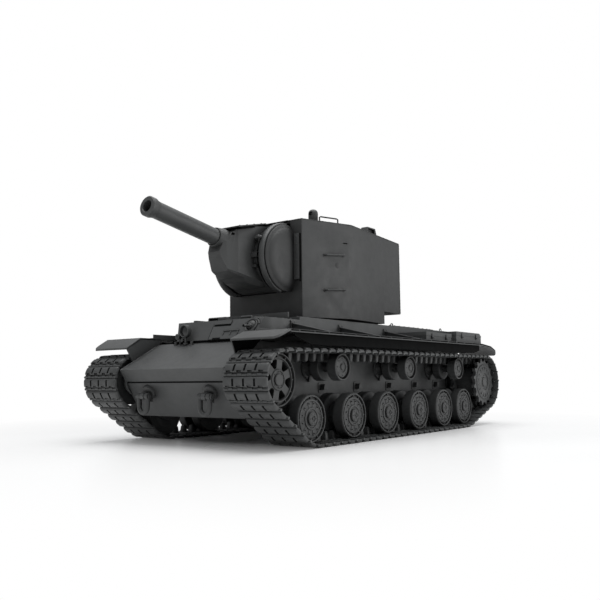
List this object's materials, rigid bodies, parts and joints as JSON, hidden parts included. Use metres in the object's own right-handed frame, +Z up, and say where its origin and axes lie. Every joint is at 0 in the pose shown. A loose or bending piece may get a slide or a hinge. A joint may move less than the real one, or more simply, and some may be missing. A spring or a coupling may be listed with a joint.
{
  "type": "radio-controlled battle tank",
  "caption": "Scale radio-controlled battle tank: flat-sided hull on sprung double wheels and tracks, tall box turret that traverses, short howitzer that elevates and recoils.",
  "frame": {"origin": "middle of the bounding box in plan, on the ground under the tracks", "axes": "+Z up, the front and the gun face -Y, the tank's own left side faces +X"},
  "size_m": [0.209, 0.444, 0.2095],
  "materials": {
    "hull_plastic": "satin dark grey moulded plastic",
    "turret_plastic": "satin dark grey moulded plastic",
    "gun_plastic": "satin dark grey moulded plastic",
    "running_gear_plastic": "satin dark grey moulded plastic",
    "track_plastic": "semi-matt dark grey plastic links",
    "black_plastic": "black moulded plastic",
    "lamp_plastic": "satin dark grey plastic with a dark lamp face",
    "battery_wrap": "shrink-wrapped cells",
    "circuit_board": "green circuit board",
    "motor_steel": "motor can"
  },
  "bodies": {
    "hull": {"lower_hull": "hull_plastic", "upper_hull": "hull_plastic", "engine_deck": "hull_plastic", "fender_left": "hull_plastic", "fender_right": "hull_plastic", "gearbox_left": "black_plastic", "gearbox_right": "black_plastic", "battery_pack": "battery_wrap", "control_board": "circuit_board", "speaker": "black_plastic", "traverse_motor": "motor_steel", "headlight": "lamp_plastic", "track_left": "track_plastic", "track_right": "track_plastic"},
    "turret": {"turret_shell": "turret_plastic", "turret_base": "turret_plastic", "elevation_unit": "black_plastic"},
    "gun_mask": {"gun_mask": "turret_plastic"},
    "gun_barrel": {"gun_barrel": "gun_plastic"},
    "driver_hatch": {"driver_hatch": "hull_plastic"},
    "commander_hatch": {"commander_hatch": "turret_plastic"},
    "turret_rear_door": {"turret_rear_door": "turret_plastic"},
    "hull_machine_gun": {"hull_machine_gun": "gun_plastic"},
    "power_switch": {"power_switch": "black_plastic"},
    "tow_shackle_left": {"tow_shackle_left": "running_gear_plastic"},
    "tow_shackle_right": {"tow_shackle_right": "running_gear_plastic"},
    "sprocket_left": {"sprocket_left": "running_gear_plastic"},
    "idler_left": {"idler_left": "running_gear_plastic"},
    "return_roller_left_1": {"return_roller_left_1": "running_gear_plastic"},
    "return_roller_left_2": {"return_roller_left_2": "running_gear_plastic"},
    "return_roller_left_3": {"return_roller_left_3": "running_gear_plastic"},
    "swing_arm_left_1": {"swing_arm_left_1": "running_gear_plastic"},
    "road_wheel_left_1": {"road_wheel_left_1": "running_gear_plastic"},
    "swing_arm_left_2": {"swing_arm_left_2": "running_gear_plastic"},
    "road_wheel_left_2": {"road_wheel_left_2": "running_gear_plastic"},
    "swing_arm_left_3": {"swing_arm_left_3": "running_gear_plastic"},
    "road_wheel_left_3": {"road_wheel_left_3": "running_gear_plastic"},
    "swing_arm_left_4": {"swing_arm_left_4": "running_gear_plastic"},
    "road_wheel_left_4": {"road_wheel_left_4": "running_gear_plastic"},
    "swing_arm_left_5": {"swing_arm_left_5": "running_gear_plastic"},
    "road_wheel_left_5": {"road_wheel_left_5": "running_gear_plastic"},
    "swing_arm_left_6": {"swing_arm_left_6": "running_gear_plastic"},
    "road_wheel_left_6": {"road_wheel_left_6": "running_gear_plastic"},
    "sprocket_right": {"sprocket_right": "running_gear_plastic"},
    "idler_right": {"idler_right": "running_gear_plastic"},
    "return_roller_right_1": {"return_roller_right_1": "running_gear_plastic"},
    "return_roller_right_2": {"return_roller_right_2": "running_gear_plastic"},
    "return_roller_right_3": {"return_roller_right_3": "running_gear_plastic"},
    "swing_arm_right_1": {"swing_arm_right_1": "running_gear_plastic"},
    "road_wheel_right_1": {"road_wheel_right_1": "running_gear_plastic"},
    "swing_arm_right_2": {"swing_arm_right_2": "running_gear_plastic"},
    "road_wheel_right_2": {"road_wheel_right_2": "running_gear_plastic"},
    "swing_arm_right_3": {"swing_arm_right_3": "running_gear_plastic"},
    "road_wheel_right_3": {"road_wheel_right_3": "running_gear_plastic"},
    "swing_arm_right_4": {"swing_arm_right_4": "running_gear_plastic"},
    "road_wheel_right_4": {"road_wheel_right_4": "running_gear_plastic"},
    "swing_arm_right_5": {"swing_arm_right_5": "running_gear_plastic"},
    "road_wheel_right_5": {"road_wheel_right_5": "running_gear_plastic"},
    "swing_arm_right_6": {"swing_arm_right_6": "running_gear_plastic"},
    "road_wheel_right_6": {"road_wheel_right_6": "running_gear_plastic"}
  },
  "joints": [
    {"name": "turret_traverse", "type": "hinge", "parent": "hull", "child": "turret", "pos_m": [0, -0.01447, 0.1076], "axis": [0, 0, 1], "range_deg": [-160, 160]},
    {"name": "gun_elevation", "type": "hinge", "parent": "turret", "child": "gun_mask", "pos_m": [0, -0.08297, 0.161], "axis": [-1, 0, 0], "range_deg": [-15, 2]},
    {"name": "gun_recoil", "type": "slide", "parent": "gun_mask", "child": "gun_barrel", "axis": [0, 0.9848, -0.1736], "range_m": [0, 0.012], "stiffness_N_per_m": 60, "springref_m": -0.006},
    {"name": "driver_hatch_hinge", "type": "hinge", "parent": "hull", "child": "driver_hatch", "pos_m": [0.028, -0.13467, 0.1049], "axis": [1, 0, 0], "range_deg": [0, 95]},
    {"name": "commander_hatch_hinge", "type": "hinge", "parent": "turret", "child": "commander_hatch", "pos_m": [-0.014, 0.05673, 0.1991], "axis": [-1, 0, 0], "range_deg": [0, 100]},
    {"name": "turret_rear_door_hinge", "type": "hinge", "parent": "turret", "child": "turret_rear_door", "pos_m": [0.021, 0.09383, 0.156], "axis": [0, 0, -1], "range_deg": [0, 110]},
    {"name": "hull_machine_gun_swivel", "type": "hinge", "parent": "hull", "child": "hull_machine_gun", "pos_m": [0.045, -0.14547, 0.0956], "axis": [0, 0, 1], "range_deg": [-8, 8]},
    {"name": "power_switch_slide", "type": "slide", "parent": "hull", "child": "power_switch", "axis": [0, 1, 0], "range_m": [0, 0.005]},
    {"name": "tow_shackle_left_swing", "type": "hinge", "parent": "hull", "child": "tow_shackle_left", "pos_m": [0.035, -0.19097, 0.04], "axis": [1, 0, 0], "range_deg": [-110, 30]},
    {"name": "tow_shackle_right_swing", "type": "hinge", "parent": "hull", "child": "tow_shackle_right", "pos_m": [-0.035, -0.19097, 0.04], "axis": [1, 0, 0], "range_deg": [-110, 30]},
    {"name": "sprocket_left_spin", "type": "hinge", "parent": "hull", "child": "sprocket_left", "pos_m": [0.082, 0.19183, 0.0474], "axis": [1, 0, 0], "continuous": true},
    {"name": "idler_left_spin", "type": "hinge", "parent": "hull", "child": "idler_left", "pos_m": [0.082, -0.17747, 0.0523], "axis": [1, 0, 0], "continuous": true},
    {"name": "return_roller_left_1_spin", "type": "hinge", "parent": "hull", "child": "return_roller_left_1", "pos_m": [0.082, -0.09147, 0.0622], "axis": [1, 0, 0], "continuous": true},
    {"name": "return_roller_left_2_spin", "type": "hinge", "parent": "hull", "child": "return_roller_left_2", "pos_m": [0.082, 0.02453, 0.0622], "axis": [1, 0, 0], "continuous": true},
    {"name": "return_roller_left_3_spin", "type": "hinge", "parent": "hull", "child": "return_roller_left_3", "pos_m": [0.082, 0.13103, 0.0622], "axis": [1, 0, 0], "continuous": true},
    {"name": "swing_arm_left_1_swing", "type": "hinge", "parent": "hull", "child": "swing_arm_left_1", "pos_m": [0.063, -0.15827, 0.031], "axis": [1, 0, 0], "range_deg": [0, 14], "stiffness_Nm_per_rad": 0.15, "springref_deg": -17.19},
    {"name": "road_wheel_left_1_spin", "type": "hinge", "parent": "swing_arm_left_1", "child": "road_wheel_left_1", "pos_m": [0.082, -0.13677, 0.0222], "axis": [1, 0, 0], "continuous": true},
    {"name": "swing_arm_left_2_swing", "type": "hinge", "parent": "hull", "child": "swing_arm_left_2", "pos_m": [0.063, -0.09837, 0.031], "axis": [1, 0, 0], "range_deg": [0, 14], "stiffness_Nm_per_rad": 0.15, "springref_deg": -17.19},
    {"name": "road_wheel_left_2_spin", "type": "hinge", "parent": "swing_arm_left_2", "child": "road_wheel_left_2", "pos_m": [0.082, -0.07687, 0.0222], "axis": [1, 0, 0], "continuous": true},
    {"name": "swing_arm_left_3_swing", "type": "hinge", "parent": "hull", "child": "swing_arm_left_3", "pos_m": [0.063, -0.04207, 0.031], "axis": [1, 0, 0], "range_deg": [0, 14], "stiffness_Nm_per_rad": 0.15, "springref_deg": -17.19},
    {"name": "road_wheel_left_3_spin", "type": "hinge", "parent": "swing_arm_left_3", "child": "road_wheel_left_3", "pos_m": [0.082, -0.02057, 0.0222], "axis": [1, 0, 0], "continuous": true},
    {"name": "swing_arm_left_4_swing", "type": "hinge", "parent": "hull", "child": "swing_arm_left_4", "pos_m": [0.063, 0.01643, 0.031], "axis": [1, 0, 0], "range_deg": [0, 14], "stiffness_Nm_per_rad": 0.15, "springref_deg": -17.19},
    {"name": "road_wheel_left_4_spin", "type": "hinge", "parent": "swing_arm_left_4", "child": "road_wheel_left_4", "pos_m": [0.082, 0.03793, 0.0222], "axis": [1, 0, 0], "continuous": true},
    {"name": "swing_arm_left_5_swing", "type": "hinge", "parent": "hull", "child": "swing_arm_left_5", "pos_m": [0.063, 0.06963, 0.031], "axis": [1, 0, 0], "range_deg": [0, 14], "stiffness_Nm_per_rad": 0.15, "springref_deg": -17.19},
    {"name": "road_wheel_left_5_spin", "type": "hinge", "parent": "swing_arm_left_5", "child": "road_wheel_left_5", "pos_m": [0.082, 0.09113, 0.0222], "axis": [1, 0, 0], "continuous": true},
    {"name": "swing_arm_left_6_swing", "type": "hinge", "parent": "hull", "child": "swing_arm_left_6", "pos_m": [0.063, 0.11773, 0.031], "axis": [1, 0, 0], "range_deg": [0, 14], "stiffness_Nm_per_rad": 0.15, "springref_deg": -17.19},
    {"name": "road_wheel_left_6_spin", "type": "hinge", "parent": "swing_arm_left_6", "child": "road_wheel_left_6", "pos_m": [0.082, 0.13923, 0.0222], "axis": [1, 0, 0], "continuous": true},
    {"name": "sprocket_right_spin", "type": "hinge", "parent": "hull", "child": "sprocket_right", "pos_m": [-0.082, 0.19183, 0.0474], "axis": [1, 0, 0], "continuous": true},
    {"name": "idler_right_spin", "type": "hinge", "parent": "hull", "child": "idler_right", "pos_m": [-0.082, -0.17747, 0.0523], "axis": [1, 0, 0], "continuous": true},
    {"name": "return_roller_right_1_spin", "type": "hinge", "parent": "hull", "child": "return_roller_right_1", "pos_m": [-0.082, -0.09147, 0.0622], "axis": [1, 0, 0], "continuous": true},
    {"name": "return_roller_right_2_spin", "type": "hinge", "parent": "hull", "child": "return_roller_right_2", "pos_m": [-0.082, 0.02453, 0.0622], "axis": [1, 0, 0], "continuous": true},
    {"name": "return_roller_right_3_spin", "type": "hinge", "parent": "hull", "child": "return_roller_right_3", "pos_m": [-0.082, 0.13103, 0.0622], "axis": [1, 0, 0], "continuous": true},
    {"name": "swing_arm_right_1_swing", "type": "hinge", "parent": "hull", "child": "swing_arm_right_1", "pos_m": [-0.063, -0.15827, 0.031], "axis": [1, 0, 0], "range_deg": [0, 14], "stiffness_Nm_per_rad": 0.15, "springref_deg": -17.19},
    {"name": "road_wheel_right_1_spin", "type": "hinge", "parent": "swing_arm_right_1", "child": "road_wheel_right_1", "pos_m": [-0.082, -0.13677, 0.0222], "axis": [1, 0, 0], "continuous": true},
    {"name": "swing_arm_right_2_swing", "type": "hinge", "parent": "hull", "child": "swing_arm_right_2", "pos_m": [-0.063, -0.09837, 0.031], "axis": [1, 0, 0], "range_deg": [0, 14], "stiffness_Nm_per_rad": 0.15, "springref_deg": -17.19},
    {"name": "road_wheel_right_2_spin", "type": "hinge", "parent": "swing_arm_right_2", "child": "road_wheel_right_2", "pos_m": [-0.082, -0.07687, 0.0222], "axis": [1, 0, 0], "continuous": true},
    {"name": "swing_arm_right_3_swing", "type": "hinge", "parent": "hull", "child": "swing_arm_right_3", "pos_m": [-0.063, -0.04207, 0.031], "axis": [1, 0, 0], "range_deg": [0, 14], "stiffness_Nm_per_rad": 0.15, "springref_deg": -17.19},
    {"name": "road_wheel_right_3_spin", "type": "hinge", "parent": "swing_arm_right_3", "child": "road_wheel_right_3", "pos_m": [-0.082, -0.02057, 0.0222], "axis": [1, 0, 0], "continuous": true},
    {"name": "swing_arm_right_4_swing", "type": "hinge", "parent": "hull", "child": "swing_arm_right_4", "pos_m": [-0.063, 0.01643, 0.031], "axis": [1, 0, 0], "range_deg": [0, 14], "stiffness_Nm_per_rad": 0.15, "springref_deg": -17.19},
    {"name": "road_wheel_right_4_spin", "type": "hinge", "parent": "swing_arm_right_4", "child": "road_wheel_right_4", "pos_m": [-0.082, 0.03793, 0.0222], "axis": [1, 0, 0], "continuous": true},
    {"name": "swing_arm_right_5_swing", "type": "hinge", "parent": "hull", "child": "swing_arm_right_5", "pos_m": [-0.063, 0.06963, 0.031], "axis": [1, 0, 0], "range_deg": [0, 14], "stiffness_Nm_per_rad": 0.15, "springref_deg": -17.19},
    {"name": "road_wheel_right_5_spin", "type": "hinge", "parent": "swing_arm_right_5", "child": "road_wheel_right_5", "pos_m": [-0.082, 0.09113, 0.0222], "axis": [1, 0, 0], "continuous": true},
    {"name": "swing_arm_right_6_swing", "type": "hinge", "parent": "hull", "child": "swing_arm_right_6", "pos_m": [-0.063, 0.11773, 0.031], "axis": [1, 0, 0], "range_deg": [0, 14], "stiffness_Nm_per_rad": 0.15, "springref_deg": -17.19},
    {"name": "road_wheel_right_6_spin", "type": "hinge", "parent": "swing_arm_right_6", "child": "road_wheel_right_6", "pos_m": [-0.082, 0.13923, 0.0222], "axis": [1, 0, 0], "continuous": true}
  ],
  "couplings": [
    {"joint": "idler_left_spin", "follows": "sprocket_left_spin", "ratio": 1.2506},
    {"joint": "return_roller_left_1_spin", "follows": "sprocket_left_spin", "ratio": 2.4292},
    {"joint": "return_roller_left_2_spin", "follows": "sprocket_left_spin", "ratio": 2.4292},
    {"joint": "return_roller_left_3_spin", "follows": "sprocket_left_spin", "ratio": 2.4292},
    {"joint": "road_wheel_left_1_spin", "follows": "sprocket_left_spin", "ratio": 1.4758},
    {"joint": "road_wheel_left_2_spin", "follows": "sprocket_left_spin", "ratio": 1.4758},
    {"joint": "road_wheel_left_3_spin", "follows": "sprocket_left_spin", "ratio": 1.4758},
    {"joint": "road_wheel_left_4_spin", "follows": "sprocket_left_spin", "ratio": 1.4758},
    {"joint": "road_wheel_left_5_spin", "follows": "sprocket_left_spin", "ratio": 1.4758},
    {"joint": "road_wheel_left_6_spin", "follows": "sprocket_left_spin", "ratio": 1.4758},
    {"joint": "idler_right_spin", "follows": "sprocket_right_spin", "ratio": 1.2506},
    {"joint": "return_roller_right_1_spin", "follows": "sprocket_right_spin", "ratio": 2.4292},
    {"joint": "return_roller_right_2_spin", "follows": "sprocket_right_spin", "ratio": 2.4292},
    {"joint": "return_roller_right_3_spin", "follows": "sprocket_right_spin", "ratio": 2.4292},
    {"joint": "road_wheel_right_1_spin", "follows": "sprocket_right_spin", "ratio": 1.4758},
    {"joint": "road_wheel_right_2_spin", "follows": "sprocket_right_spin", "ratio": 1.4758},
    {"joint": "road_wheel_right_3_spin", "follows": "sprocket_right_spin", "ratio": 1.4758},
    {"joint": "road_wheel_right_4_spin", "follows": "sprocket_right_spin", "ratio": 1.4758},
    {"joint": "road_wheel_right_5_spin", "follows": "sprocket_right_spin", "ratio": 1.4758},
    {"joint": "road_wheel_right_6_spin", "follows": "sprocket_right_spin", "ratio": 1.4758}
  ]
}
